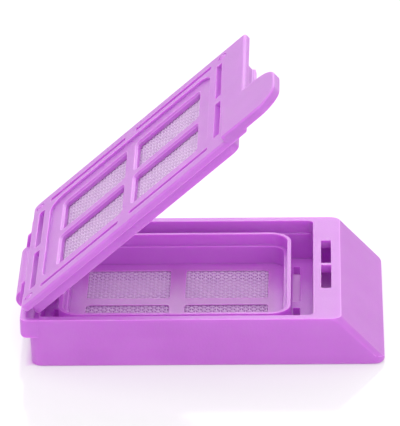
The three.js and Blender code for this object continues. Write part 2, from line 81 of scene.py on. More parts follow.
@dataclass(frozen=True)
class Signal:
    """A number that flows through a node graph. Expressions on signals add Math nodes."""

    graph: "Graph"
    socket: bpy.types.NodeSocket

    def __add__(self, other: "Value") -> "Signal":
        """This plus the other."""
        return self.graph.maths("ADD", self, other)

    def __radd__(self, other: "Value") -> "Signal":
        """The other plus this."""
        return self.graph.maths("ADD", other, self)

    def __sub__(self, other: "Value") -> "Signal":
        """This minus the other."""
        return self.graph.maths("SUBTRACT", self, other)

    def __rsub__(self, other: "Value") -> "Signal":
        """The other minus this."""
        return self.graph.maths("SUBTRACT", other, self)

    def __mul__(self, other: "Value") -> "Signal":
        """This times the other."""
        return self.graph.maths("MULTIPLY", self, other)

    def __rmul__(self, other: "Value") -> "Signal":
        """The other times this."""
        return self.graph.maths("MULTIPLY", other, self)

    def __truediv__(self, other: "Value") -> "Signal":
        """This divided by the other."""
        return self.graph.maths("DIVIDE", self, other)

    def __rtruediv__(self, other: "Value") -> "Signal":
        """The other divided by this."""
        return self.graph.maths("DIVIDE", other, self)

    def __neg__(self) -> "Signal":
        """This with its sign turned."""
        return self.graph.maths("MULTIPLY", self, -1.0)

    def cosine(self) -> "Signal":
        """The cosine of this angle."""
        return self.graph.maths("COSINE", self)


Value = Union[float, Signal]
Key = Union[str, int]


@dataclass(frozen=True)
class Graph:
    """A node tree, for a material or for geometry, that is filled node by node."""

    tree: bpy.types.NodeTree

    @staticmethod
    def of_material(name: str) -> tuple[bpy.types.Material, "Graph"]:
        """Makes a material with an empty graph.

        Args:
            name: The material's name.

        Returns:
            The material and its graph.
        """
        material = bpy.data.materials.new(name)
        material.use_nodes = True
        material.node_tree.nodes.clear()
        return material, Graph(material.node_tree)

    @staticmethod
    def find(sockets: bpy.types.bpy_prop_collection, key: Key) -> bpy.types.NodeSocket:
        """The socket of a node that has that identifier, or else that place or name."""
        matching = [socket for socket in sockets if socket.identifier == key]
        return matching[0] if matching else sockets[key]

    def node(
        self,
        kind: str,
        settings: dict[str, object] | None = None,
        inputs: dict[Key, object] | None = None,
        out: Key = 0,
    ) -> Signal:
        """Adds one node.

        Args:
            kind: The node's type.
            settings: The node's own properties, which are set first.
            inputs: What its sockets get, by place, identifier or name: a value, a signal, or a
                list of signals for a socket that takes several.
            out: The output that is handed on.

        Returns:
            The chosen output as a signal.
        """
        node = self.tree.nodes.new(kind)
        for name, value in (settings or {}).items():
            setattr(node, name, value)
        for key, value in (inputs or {}).items():
            socket = self.find(node.inputs, key)
            links = value if isinstance(value, list) else [value]
            for link in (link for link in links if isinstance(link, Signal)):
                self.tree.links.new(link.socket, socket)
            if not isinstance(links[0], Signal):
                socket.default_value = value
        if not node.outputs:
            return Signal(self, node.inputs[0])
        return Signal(self, self.find(node.outputs, out))

    def maths(self, operation: str, *terms: Value) -> Signal:
        """A Math node with that operation on those terms."""
        return self.node("ShaderNodeMath", {"operation": operation}, dict(enumerate(terms)))

    def blend(self, share: Value, first: object, second: object) -> Signal:
        """Mixes two colours.

        Args:
            share: The second colour's share, from 0 to 1.
            first: A signal, or red, green and blue.
            second: The same.

        Returns:
            The colour between them.
        """
        ends = [end if isinstance(end, Signal) else (*end, 1.0) for end in (first, second)]
        return self.node(
            "ShaderNodeMix",
            {"data_type": "RGBA", "clamp_factor": True},
            {"Factor_Float": share, "A_Color": ends[0], "B_Color": ends[1]},
            "Result_Color",
        )

    def place(self, centre: Vector, stretch: Triple = (1.0, 1.0, 1.0)) -> Signal:
        """Adds the Object coordinates, measured from a centre.

        Args:
            centre: The centre.
            stretch: How much they grow along each axis.

        Returns:
            The coordinates.
        """
        where = self.node("ShaderNodeTexCoord", out="Object")
        shift = tuple(-c * s for c, s in zip(centre, stretch))
        inputs = {"Vector": where, "Location": shift, "Scale": stretch}
        return self.node("ShaderNodeMapping", {}, inputs)

    def given(self, name: str) -> Signal:
        """A named input of a geometry graph."""
        return self.node("NodeGroupInput", out=name)

    def noise(self, where: Signal, size: float, detail: float = 2.0) -> Signal:
        """Cloudy noise from 0 to 1 whose patches are about that many metres across."""
        sizes = {"Scale": 1.0 / size, "Detail": detail, "Roughness": NOISE_ROUGHNESS}
        return self.node("ShaderNodeTexNoise", {}, {"Vector": where, **sizes})

    def mark(self, name: str) -> Signal:
        """A mark that was left on a mesh's faces, 0 or 1."""
        return self.node("ShaderNodeAttribute", {"attribute_name": name}, out="Fac")

    def shows_background(self) -> Signal:
        """Tells the rays that show a background from those that only light.

        Returns:
            1 for a ray from the camera, from gloss or through glass, and 0 for any other.
        """
        kinds = ("Is Camera Ray", "Is Glossy Ray", "Is Transmission Ray")
        camera, gloss, glass = (self.node("ShaderNodeLightPath", out=kind) for kind in kinds)
        return self.maths("MAXIMUM", self.maths("MAXIMUM", camera, gloss), glass)

    def bump(self, height: Signal, depth: float) -> Signal:
        """The surface's normal, tilted by a height of that depth in metres."""
        inputs = {"Height": height, "Distance": depth, "Strength": 1.0}
        return self.node("ShaderNodeBump", {}, inputs)

    def surface(self, inputs: dict[Key, object]) -> None:
        """Adds the Principled shader with those inputs, and joins it to the material's output."""
        shader = self.node("ShaderNodeBsdfPrincipled", {}, inputs)
        self.node("ShaderNodeOutputMaterial", {}, {"Surface": shader})


# ----------------------------------------------------------
# Finishes
# ----------------------------------------------------------


class Mark(Enum):
    """What a face of a moulded shell is, beside plain wall."""

    # Rounded outside edges: they get a painted highlight and a smoother finish.
    EDGE = "edge"
    WRITING = "writing"


@dataclass(frozen=True)
class MouldedAcetal:
    """Satin injection-moulded acetal: cloudy colour, fine grain, painted edge highlights and a
    painted glow.

    Attributes:
        name: The material's name.
        deep, pale, edge: The colours of the plastic, from its darker clouds to the highlight
            painted on its rounded edges.
        cloud_size, streak_size, streak_stretch: The patches of colour, and how long streaks are.
        streak_share, edge_highlight_share: How much streaks and the painted edge highlight count in
            the colour.
        grain_size, grain_depth: The fine relief of the mould.
        paper_size, paper_depth: The relief of the face for writing.
        roughness, roughness_swing: The middle roughness, and how far it varies.
        paper_roughness, edge_polish: What the face for writing adds, and the edges take off.
        refraction: The plastic's index of refraction.
        glow, glow_reach, glow_colour: How light spreads inside the plastic.
        painted_glow_colour, painted_glow_strength: A faint glow painted on as emission, for light
        that spreads through from other walls.
    """

    name: str
    deep: Colour = (0.475, 0.140, 0.565)
    pale: Colour = (0.600, 0.225, 0.690)
    # A painted highlight: the lighter colour of the rounded outside edges.
    edge: Colour = (0.740, 0.340, 0.820)
    cloud_size: float = 6.0 * MM
    streak_size: float = 2.5 * MM
    streak_stretch: float = 0.15
    streak_share: float = 0.4
    edge_highlight_share: float = 0.55
    grain_size: float = 0.22 * MM
    grain_depth: float = 0.02 * MM
    paper_size: float = 0.10 * MM
    paper_depth: float = 0.03 * MM
    roughness: float = 0.36
    roughness_swing: float = 0.14
    paper_roughness: float = 0.10
    edge_polish: float = 0.06
    refraction: float = 1.48
    glow: float = 1.0
    glow_reach: float = 1.2 * MM
    glow_colour: Colour = (1.0, 0.35, 1.0)
    # A faint glow painted over the shell as emission.
    painted_glow_colour: Colour = (0.55, 0.05, 0.62)
    painted_glow_strength: float = 0.115

    def material(self, centre: Vector) -> bpy.types.Material:
        """Makes the material.

        Args:
            centre: The middle of the piece, which the patterns are laid out from.

        Returns:
            The material.
        """
        material, graph = Graph.of_material(self.name)
        where = graph.place(centre)
        along = graph.place(centre, (self.streak_stretch, 1.0, 1.0))
        cloud = graph.noise(where, self.cloud_size, detail=3.0)
        streak = graph.noise(along, self.streak_size)
        grain = graph.noise(where, self.grain_size, detail=3.0)
        paper = graph.noise(where, self.paper_size, detail=1.0)
        edge = graph.mark(Mark.EDGE.value)
        writing = graph.mark(Mark.WRITING.value)
        mottle = (1.0 - self.streak_share) * cloud + self.streak_share * streak
        colour = graph.blend(mottle, self.deep, self.pale)
        # Rounded outside edges are painted lighter: a painted highlight.
        colour = graph.blend(self.edge_highlight_share * edge, colour, self.edge)
        rough = self.roughness + self.roughness_swing * (0.5 * streak + 0.5 * grain - 0.5)
        rough = rough + self.paper_roughness * writing - self.edge_polish * edge
        relief = grain + writing * (paper - grain) * (self.paper_depth / self.grain_depth)
        graph.surface({
            "Base Color": colour,
            "Roughness": rough,
            "Normal": graph.bump(relief, self.grain_depth),
            "IOR": self.refraction,
            "Subsurface Weight": self.glow,
            "Subsurface Radius": self.glow_colour,
            "Subsurface Scale": self.glow_reach,
            # Painted glow: a faint emission over the whole shell, for light spread through the
            # plastic.
            "Emission Color": (*self.painted_glow_colour, 1.0),
            "Emission Strength": self.painted_glow_strength,
        })
        return material


@dataclass(frozen=True)
class NylonThread:
    """Fine woven nylon thread: near white, painted lilac with the plastic's purple light, with a
    soft shine and a little variation.

    Attributes:
        name: The material's name.
        deep, pale: The colours of the thread, from its darker clouds to its paler ones, both
            painted lilac for the purple light round it.
        cloud_size: How large the clouds are.
        fibre_size, fibre_share, fibre_depth: The fibres, their part in the colour and their relief.
        roughness, roughness_swing: The middle roughness, and how far it varies.
        refraction: The thread's index of refraction.
    """

    name: str
    # Painted light: lilac tints on a near-white thread.
    deep: Colour = (0.78, 0.51, 0.87)
    pale: Colour = (0.98, 0.79, 1.00)
    cloud_size: float = 1.6 * MM
    fibre_size: float = 0.09 * MM
    fibre_share: float = 0.3
    fibre_depth: float = 0.006 * MM
    roughness: float = 0.42
    roughness_swing: float = 0.2
    refraction: float = 1.5

    def material(self, centre: Vector) -> bpy.types.Material:
        """Makes the material.

        Args:
            centre: The middle of the sheet, which the patterns are laid out from.

        Returns:
            The material.
        """
        material, graph = Graph.of_material(self.name)
        where = graph.place(centre)
        cloud = graph.noise(where, self.cloud_size)
        fibre = graph.noise(where, self.fibre_size, detail=1.0)
        mottle = (1.0 - self.fibre_share) * cloud + self.fibre_share * fibre
        graph.surface({
            # The near-white thread is painted lilac: painted purple light from the plastic round
            # it.
            "Base Color": graph.blend(mottle, self.deep, self.pale),
            "Roughness": self.roughness + self.roughness_swing * (fibre - 0.5),
            "Normal": graph.bump(fibre, self.fibre_depth),
            "IOR": self.refraction,
        })
        return material


@dataclass(frozen=True)
class StudioFloor:
    """A pale glossy table that fades to white, keeps a soft shadow and reflection, and is painted
    purple under the base.

    Attributes:
        name: The material's name.
        colour: The colour of the table.
        through_light_tint: A purple tint painted on the table under the base: painted light, for
            light that comes only through the plastic.
        roughness, roughness_swing, haze_size: The roughness, how far it varies and over what size.
        fade: How much of the table's shading gives way to white.
        shade_half, shade_centre: The rectangle under the base.
        shade_edge: How far the painted tint takes to end outside it.
    """

    name: str = "studio_floor"
    colour: Colour = (0.95, 0.94, 0.955)
    # Painted light: the purple tint under the base.
    through_light_tint: Colour = (0.97, 0.62, 1.0)
    roughness: float = 0.1
    roughness_swing: float = 0.04
    haze_size: float = 40.0 * MM
    fade: float = 0.42
    shade_half: tuple[float, float] = (19.0 * MM, 13.0 * MM)
    shade_centre: Place = (3.2 * MM, 0.0, 0.0)
    shade_edge: float = 1.0 * MM

    def outside(self, graph: Graph) -> Signal:
        """How far a point is outside the shaded rectangle under the object.

        Args:
            graph: The floor's graph.

        Returns:
            0 inside the rectangle, rising to 1 outside it.
        """
        where = graph.place(Vector(self.shade_centre))
        beyond = []
        for axis, half in zip("XY", self.shade_half):
            part = graph.node("ShaderNodeSeparateXYZ", {}, {"Vector": where}, axis)
            beyond.append(graph.maths("ABSOLUTE", part) - half)
        steps = graph.maths("MAXIMUM", *beyond) / self.shade_edge
        return graph.node("ShaderNodeClamp", {}, {"Value": steps})

    def material(self) -> bpy.types.Material:
        """Makes the material: the table's own shading, faded to white where it is background.

        Returns:
            The material.
        """
        material, graph = Graph.of_material(self.name)
        haze = graph.noise(graph.place(Vector()), self.haze_size)
        outside = self.outside(graph)
        table = graph.node("ShaderNodeBsdfPrincipled", {}, {
            # Painted light: under the base the table is tinted purple, for light that comes through
            # the plastic.
            "Base Color": graph.blend(outside, self.through_light_tint, self.colour),
            "Roughness": self.roughness + self.roughness_swing * (haze - 0.5),
        })
        white = graph.node("ShaderNodeEmission", {}, {"Color": WHITE, "Strength": 1.0})
        share = self.fade * graph.shows_background() * outside
        both = graph.node("ShaderNodeMixShader", {}, {0: share, 1: table, 2: white})
        graph.node("ShaderNodeOutputMaterial", {}, {"Surface": both})
        return material


# ----------------------------------------------------------
# Pieces
# ----------------------------------------------------------


def settle(piece: bpy.types.Object) -> None:
    """Turns a piece's modifiers into its plain mesh.

    Args:
        piece: The piece, with its modifiers.
    """
    evaluated = piece.evaluated_get(bpy.context.evaluated_depsgraph_get())
    mesh = bpy.data.meshes.new_from_object(evaluated)
    piece.modifiers.clear()
    piece.data = mesh
    mesh.name = piece.name


def new_piece(name: str, mesh: bpy.types.Mesh) -> bpy.types.Object:
    """Puts a mesh into the scene.

    Args:
        name: The name of its object.
        mesh: The mesh.

    Returns:
        The object.
    """
    piece = bpy.data.objects.new(name, mesh)
    bpy.context.scene.collection.objects.link(piece)
    return piece


@dataclass
class CassettePiece:
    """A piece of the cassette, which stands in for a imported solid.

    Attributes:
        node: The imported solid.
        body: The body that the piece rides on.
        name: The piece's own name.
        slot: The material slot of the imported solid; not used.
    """

    node: str
    body: str
    name: str
    slot: str

    def centre(self) -> Vector:
        """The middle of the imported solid's box."""
        low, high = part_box(self.node)
        return (low + high) / 2

    def dress(self, piece: bpy.types.Object) -> None:
        """Hands the piece to its body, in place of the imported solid.

        Args:
            piece: The piece.
        """
        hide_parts(self.node)
        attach(piece, self.body)


class Kind(IntEnum):
    """What a face is while its shell is rounded, which it keeps as its material's number."""

    FLAT = 0
    ROUND = 1


def flat_numbers(work: bmesh.types.BMesh) -> bmesh.types.BMLayerItem:
    """The layer that keeps the number of each face's flat part, from 1 up."""
    return work.faces.layers.int.get("flat") or work.faces.layers.int.new("flat")


class FlatPart:
    """The faces of a solid that lie in one plane, and the outline round them and their holes."""

    def __init__(self, faces: list[bmesh.types.BMFace]) -> None:
        """Lays the outline flat and plans the triangles that fill it.

        Args:
            faces: The faces.
        """
        sides = [edge for face in faces for edge in face.edges]
        self.faces = faces
        self.outline = [edge for edge in sides if sides.count(edge) == 1]
        self.corners = list(dict.fromkeys(end for edge in self.outline for end in edge.verts))
        facing = sum((face.normal * face.calc_area() for face in faces), Vector())
        level = facing.rotation_difference(Vector((0.0, 0.0, 1.0)))
        number = {corner: i for i, corner in enumerate(self.corners)}
        self.laid = [(level @ corner.co).xy for corner in self.corners]
        self.links = [tuple(number[corner] for corner in edge.verts) for edge in self.outline]
        plan = delaunay_2d_cdt(self.laid, self.links, [], TRIANGLES_WITHIN, CROSSING_DISTANCE)
        self.points, self.plan_links, self.plan_triangles, self.origins, self.link_origins, _ = plan

    def crossings(self) -> dict[bmesh.types.BMEdge, float]:
        """Finds where the outline crosses itself.

        Returns:
            For each crossed edge, how far along it a crossing lies, from 0 to 1.
        """
        found = {}
        for link, sources in zip(self.plan_links, self.link_origins):
            for end in (end for end in link if not self.origins[end]):
                for source in sources:
                    start, stop = (self.laid[i] for i in self.links[source])
                    share = (self.points[end] - start).length / (stop - start).length
                    found[self.outline[source]] = share
        return found

    def holds(self, point: Vector) -> bool:
        """Tells whether a point lies inside the outline and outside its holes.

        Args:
            point: The point, laid flat.

        Returns:
            True if a line from the point crosses an odd number of sides.
        """
        sides = ((self.laid[start], self.laid[end]) for start, end in self.links)
        crossed = [
            start
            for start, end in sides
            if (start.y > point.y) != (end.y > point.y)
            and point.x < start.x + (point.y - start.y) * (end.x - start.x) / (end.y - start.y)
        ]
        return len(crossed) % 2 == 1

    def triangles(self) -> list[list[bmesh.types.BMVert]]:
        """Fills the outline with triangles.

        Returns:
            The corners of each triangle, or nothing if the outline crosses itself.
        """
        if not all(self.origins):
            return []
        return [
            [self.corners[self.origins[i][0]] for i in ends]
            for ends in self.plan_triangles
            if self.holds(sum((self.points[i] for i in ends), Vector((0.0, 0.0))) / 3)
        ]


@dataclass
class Moulding(CassettePiece):
    """One moulded shell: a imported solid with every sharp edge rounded, as it leaves the mould.

    Attributes:
        finish: What it is made of.
        edge_radius: How far a round reaches over the faces beside its edge.
        edge_profile: The shape of a round, 0.5 for part of a circle.
        edge_angle: The least angle of a sharp edge.
        edge_steps: The number of faces across a round.
        merge_distance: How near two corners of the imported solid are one.
        work_unit: The unit that the solid is worked on in.
        least_share: The least share of a flat part's area that its rounds may leave.
        join_distance: How near two corners of the rounded solid are one.
        turning_rounds, crossing_rounds: How often stray faces and crossed outlines are looked for.
        gap_sides: The most sides of a small gap that is closed.
        plain_corners: The most corners of a face that rounding can't tangle.
        flat_angle: The greatest angle between faces of one flat part.
        shading_angle: The greatest angle between faces that are shaded as one.
    """

    finish: MouldedAcetal
    edge_radius: float = 0.055 * MM
    edge_profile: float = 0.5
    edge_angle: float = math.radians(32)
    edge_steps: int = 2
    merge_distance: float = 0.002 * MM
    work_unit: float = MM
    least_share: float = 0.02
    join_distance: float = 0.002 * MM
    turning_rounds: int = 4
    crossing_rounds: int = 3
    gap_sides: int = 8
    plain_corners: int = 4
    flat_angle: float = math.radians(0.3)
    shading_angle: float = math.radians(50)

    def merged(self) -> bmesh.types.BMesh:
        """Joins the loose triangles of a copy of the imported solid, and merges those in one plane.

        Returns:
            The merged solid, in work units, in which its sizes are well over the filling's limits.
        """
        work = bmesh.new()
        work.from_mesh(frame["nodes"][self.node].data)
        bmesh.ops.remove_doubles(work, verts=work.verts, dist=self.merge_distance)
        work.transform(Matrix.Scale(1.0 / self.work_unit, 4))
        bmesh.ops.dissolve_limit(
            work,
            angle_limit=self.flat_angle,
            verts=work.verts,
            edges=work.edges,
            delimit={"NORMAL"},
        )
        for face in work.faces:
            face.material_index = Kind.FLAT
            face.smooth = True
        self.trim(work)
        return work

    def trim(self, work: bmesh.types.BMesh) -> None:
        """Changes the merged solid where its mould does, which is nowhere on a plain shell."""

    def number_flats(self, work: bmesh.types.BMesh) -> None:
        """Gives the faces that lie in one plane and touch each other one number.

        Args:
            work: The merged solid.
        """
        layer = flat_numbers(work)
        count = 0
        for start in work.faces:
            if start[layer]:
                continue
            count += 1
            start[layer] = count
            queue = [start]
            while queue:
                for edge in queue.pop().edges:
                    near = [face for face in edge.link_faces if not face[layer]]
                    if near and edge.calc_face_angle(math.pi) < 2 * self.flat_angle:
                        near[0][layer] = count
                        queue.append(near[0])

    @staticmethod
    def facings(work: bmesh.types.BMesh) -> dict[int, Vector]:
        """Works out which way each flat part faces.

        Args:
            work: The solid.

        Returns:
            For each number, the flat part's facing, as long as its area.
        """
        layer = flat_numbers(work)
        found: dict[int, Vector] = {}
        for face in work.faces:
            if face.material_index == Kind.FLAT:
                number = face[layer]
                found[number] = found.get(number, Vector()) + face.normal * face.calc_area()
        return found

    def ease_edges(self, work: bmesh.types.BMesh, narrow: set[int]) -> None:
        """Rounds every sharp edge, except those round a flat part that is too narrow for it.

        Args:
            work: The merged solid.
            narrow: The numbers of the narrow flat parts.
        """
        layer = flat_numbers(work)
        sharp = [
            edge
            for edge in work.edges
            if edge.calc_face_angle(0.0) > self.edge_angle
            and not any(face[layer] in narrow for face in edge.link_faces)
        ]
        bmesh.ops.bevel(
            work,
            geom=sharp,
            offset=self.edge_radius / self.work_unit,
            offset_type="OFFSET",
            segments=self.edge_steps,
            profile=self.edge_profile,
            affect="EDGES",
            clamp_overlap=False,
            material=Kind.ROUND,
            loop_slide=False,
            miter_outer="SHARP",
        )

    def flat_parts(self, work: bmesh.types.BMesh) -> list[FlatPart]:
        """Gathers the flat parts with a face that has many corners, which rounding can tangle.

        Args:
            work: The rounded solid.

        Returns:
            The flat parts.
        """
        layer = flat_numbers(work)
        flats: dict[int, list[bmesh.types.BMFace]] = {}
        for face in work.faces:
            if face.material_index == Kind.FLAT:
                flats.setdefault(face[layer], []).append(face)
        return [
            FlatPart(faces)
            for faces in flats.values()
            if max(len(face.verts) for face in faces) > self.plain_corners
        ]

    def split_crossings(self, work: bmesh.types.BMesh) -> None:
        """Splits the edges of each flat part where its outline crosses itself.

        Args:
            work: The rounded solid.
        """
        for _ in range(self.crossing_rounds):
            crossings = {}
            for part in self.flat_parts(work):
                crossings.update(part.crossings())
            for edge, share in crossings.items():
                bmesh.utils.edge_split(edge, edge.verts[0], share)

    def refill_flats(self, work: bmesh.types.BMesh, facings: dict[int, Vector]) -> None:
        """Fills each flat part again from its outline, with its holes left open.

        Args:
            work: The rounded solid.
            facings: The facing of each flat part.
        """
        layer = flat_numbers(work)
        for part in self.flat_parts(work):
            triangles = part.triangles()
            if not triangles:
                continue
            number = part.faces[0][layer]
            bmesh.ops.delete(work, geom=part.faces, context="FACES_ONLY")
            for triangle in triangles:
                made = work.faces.get(triangle) or work.faces.new(triangle)
                made.normal_update()
                made.smooth = True
                made[layer] = number
                if made.normal.dot(facings[number]) < 0.0:
                    made.normal_flip()
        bmesh.ops.remove_doubles(work, verts=work.verts, dist=self.join_distance / self.work_unit)
        loose = [edge for edge in work.edges if not edge.link_faces]
        bmesh.ops.delete(work, geom=loose, context="EDGES")
        gaps = [edge for edge in work.edges if edge.is_boundary]
        bmesh.ops.holes_fill(work, edges=gaps, sides=self.gap_sides)

    @staticmethod
    def part_sheets(work: bmesh.types.BMesh) -> None:
        """Parts two sheets that share an edge: one of them gets a corner of its own in the middle.

        Args:
            work: The closed solid.
        """
        layer = flat_numbers(work)
        for edge in [edge for edge in work.edges if len(edge.link_faces) == 4]:
            middle = work.verts.new((edge.verts[0].co + edge.verts[1].co) / 2)
            # Two faces that pass the edge in opposite ways make up one sheet.
            sheet = list({loop.vert: loop for loop in edge.link_loops}.values())
            for loop in sheet:
                ring = [loop.link_loop_next]
                while ring[-1] != loop:
                    ring.append(ring[-1].link_loop_next)
                corners = [part.vert for part in ring]
                for pair in zip(corners, corners[1:]):
                    made = work.faces.new((middle, *pair))
                    made.material_index = loop.face.material_index
                    made.smooth = True
                    made[layer] = loop.face[layer]
            faces = [loop.face for loop in sheet]
            bmesh.ops.delete(work, geom=faces, context="FACES_ONLY")

    def turn_strays(self, work: bmesh.types.BMesh) -> None:
        """Turns each face that faces the other way from most of its neighbours.

        Args:
            work: The closed solid.
        """
        for _ in range(self.turning_rounds):
            for face in work.faces:
                sides = [edge for edge in face.edges if edge.is_manifold]
                against = [edge for edge in sides if not edge.is_contiguous]
                if 2 * len(against) > len(face.edges):
                    face.normal_flip()

    def shading(self, work: bmesh.types.BMesh) -> list[Vector]:
        """Works out the shading of each corner: flat parts stay flat and the rounds run into them.

        Args:
            work: The finished solid.

        Returns:
            The facing of each face corner, in the mesh's order.
        """
        layer = flat_numbers(work)
        areas: dict[int, float] = {}
        for face in work.faces:
            if face.material_index == Kind.FLAT:
                areas[face[layer]] = areas.get(face[layer], 0.0) + face.calc_area()
        limit = math.cos(self.shading_angle)

        def weight(face: bmesh.types.BMFace) -> float:
            """How much a face counts: its own area in a round, or else all of its flat part's."""
            return face.calc_area() if face.material_index == Kind.ROUND else areas[face[layer]]

        weighted = {face: face.normal * weight(face) for face in work.faces}
        facings = []
        for face in work.faces:
            for loop in face.loops:
                others = loop.vert.link_faces
                near = [other for other in others if other.normal.dot(face.normal) > limit]
                facing = sum((weighted[other] for other in near), Vector())
                facings.append(facing.normalized() if facing.length > 0.0 else face.normal.copy())
        return facings

    def marks(self, work: bmesh.types.BMesh) -> dict[Mark, list[float]]:
        """Works out the marks of the shell.

        Args:
            work: The finished solid.

        Returns:
            For each mark, 0 or 1 for each face.
        """

        def is_edge(face: bmesh.types.BMFace) -> bool:
            """Whether a face is part of a rounded outside edge."""
            bend = sum(edge.calc_face_angle_signed(0.0) for edge in face.edges)
            return face.material_index == Kind.ROUND and bend > 0.0

        return {
            Mark.EDGE: [float(is_edge(face)) for face in work.faces],
            Mark.WRITING: [float(self.is_writing(face)) for face in work.faces],
        }

    def is_writing(self, face: bmesh.types.BMFace) -> bool:
        """Whether a face is for writing on, which no face of a plain shell is."""
        return False

    def rounded(self) -> tuple[bmesh.types.BMesh, dict[int, Vector]]:
        """Rounds the solid's edges, again and again until no flat part is lost in its own rounds.

        Returns:
            The rounded solid, and the facing that each flat part had before.
        """
        narrow: set[int] = set()
        while True:
            work = self.merged()
            self.number_flats(work)
            before = self.facings(work)
            self.ease_edges(work, narrow)
            after = self.facings(work)
            lost = {
                number
                for number, facing in before.items()
                if after.get(number, Vector()).dot(facing)
                < self.least_share * facing.length_squared
            } - narrow
            if not lost:
                log.info("%s: %d narrow flat parts keep sharp edges", self.name, len(narrow))
                return work, before
            narrow |= lost
            work.free()

    def build(self) -> bpy.types.Object:
        """Builds the shell, its marks and its shading.

        Returns:
            The shell, with no material yet.
        """
        work, facings = self.rounded()
        self.split_crossings(work)
        self.refill_flats(work, facings)
        bmesh.ops.triangulate(work, faces=work.faces)
        self.turn_strays(work)
        self.part_sheets(work)
        work.normal_update()
        marks = self.marks(work)
        corner_facings = self.shading(work)
        mesh = bpy.data.meshes.new(self.name)
        for face in work.faces:
            face.material_index = Kind.FLAT
        work.transform(Matrix.Scale(self.work_unit, 4))
        work.to_mesh(mesh)
        work.free()
        for mark, values in marks.items():
            mesh.attributes.new(mark.value, "FLOAT", "FACE").data.foreach_set("value", values)
        mesh.normals_split_custom_set(corner_facings)
        return new_piece(self.name, mesh)

    def dress(self, piece: bpy.types.Object) -> None:
        """Gives the shell its finish, and hands it to its body."""
        piece.data.materials.append(self.finish.material(self.centre()))
        super().dress(piece)


@dataclass
class BaseShell(Moulding):
    """The base: outer walls, sample well, trough, shelf, hinge barrel and writing slope.

    Attributes:
        slope_angle: How steep the writing slope is.
        slope_match: How well a face's facing agrees with the slope's, 1 for exactly.
    """

    slope_angle: float = math.radians(46.5)
    slope_match: float = 0.999

    def is_writing(self, face: bmesh.types.BMFace) -> bool:
        """Whether a face lies in the plane of the writing slope, on its outside."""
        facing = Vector((math.sin(self.slope_angle), 0.0, math.cos(self.slope_angle)))
        return face.normal.dot(facing) > self.slope_match


@dataclass
class LidShell(Moulding):
    """The lid: frame, lowered panel, skirt, latch tongues, hinge arms, pips and thumb tab.

    Attributes:
        hinge: A point on the hinge's axis.
        tilt: How far the lid is open.
        slot_run: Where the two slots at the latch end begin and end, along the shut lid.
        slot_reach: How far they reach to each side of the lid's middle.
        slot_level: The height on the shut lid between their upper corners and their lower ones.
        slot_taper: How far a side leans in at the underside.
        slot_margin: How far past the slots their own corners are looked for.
    """

    hinge: Place = (0.0, 0.0, 0.0)
    tilt: float = 0.0
    slot_run: tuple[float, float] = (13.369 * MM, 14.209 * MM)
    slot_reach: float = 10.7 * MM
    slot_level: float = 6.25 * MM
    slot_taper: float = 0.3 * MM
    slot_margin: float = 0.02 * MM

    def trim(self, work: bmesh.types.BMesh) -> None:
        """Tapers the two flow slots at the latch end, on their side towards the hinge.

        Args:
            work: The merged solid, in work units.
        """
        hinge = Vector(self.hinge)
        along = Vector((math.cos(self.tilt), 0.0, math.sin(self.tilt)))
        upward = Vector((-math.sin(self.tilt), 0.0, math.cos(self.tilt)))
        near, far = self.slot_run
        for corner in work.verts:
            place = corner.co * self.work_unit - hinge
            run, level = hinge.x + place.dot(along), hinge.z + place.dot(upward)
            beside = near - self.slot_margin < run < far + self.slot_margin
            if beside and abs(place.y) < self.slot_reach and level < self.slot_level:
                share = (far - run) / (far - near)
                corner.co += along * (self.slot_taper * share / self.work_unit)


class Way(Enum):
    """The way that a thread runs in a sheet, and how it bows where it meets the others first."""

    ALONG = 1.0
    ACROSS = -1.0


